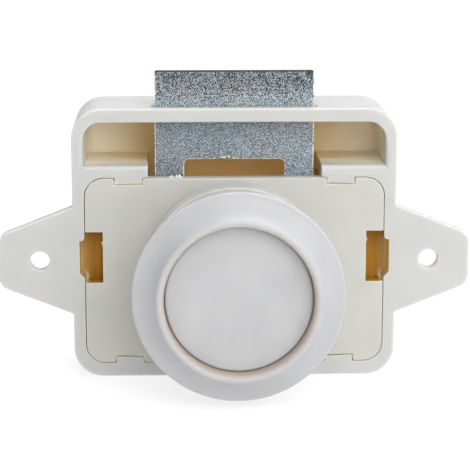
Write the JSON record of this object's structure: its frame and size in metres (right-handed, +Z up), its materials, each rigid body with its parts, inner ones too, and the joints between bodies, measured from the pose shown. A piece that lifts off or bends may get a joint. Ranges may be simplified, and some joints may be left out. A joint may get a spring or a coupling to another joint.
{
  "type": "pushbutton lock",
  "caption": "Cabinet door lock with a push-in round button in a flared rosette, an ivory moulded case with screw ears and a flat steel latch that rises when the button is pushed in.",
  "frame": {"origin": "midway between the two ear screw holes, on the face that lies against the back of the door", "axes": "+Z up, the way the latch rises; -Y out of the door's front along the button's axis; +X along the line of the two ear screws"},
  "size_m": [0.086, 0.0426, 0.0562],
  "materials": {
    "ivory_plastic": "satin moulded",
    "white_plastic": "satin moulded",
    "zinc_plated_steel": "zinc plated",
    "natural_plastic": "moulded",
    "spring_steel": "drawn wire"
  },
  "bodies": {
    "lock_case": {"housing": "ivory_plastic", "cover_plate": "ivory_plastic", "rosette": "white_plastic", "main_spring": "spring_steel", "catch_spring": "spring_steel"},
    "button": {"knob": "white_plastic", "plunger": "natural_plastic"},
    "latch": {"latch_plate": "zinc_plated_steel"}
  },
  "joints": [
    {"name": "button_slide", "type": "slide", "parent": "lock_case", "child": "button", "axis": [0, -1, 0], "range_m": [-0.0008, 0.008], "deforming": ["main_spring", "catch_spring"]},
    {"name": "latch_slide", "type": "slide", "parent": "lock_case", "child": "latch", "axis": [0, 0, 1], "range_m": [-0.007, 0.0007]}
  ],
  "couplings": [
    {"joint": "latch_slide", "follows": "button_slide", "ratio": -0.875}
  ]
}
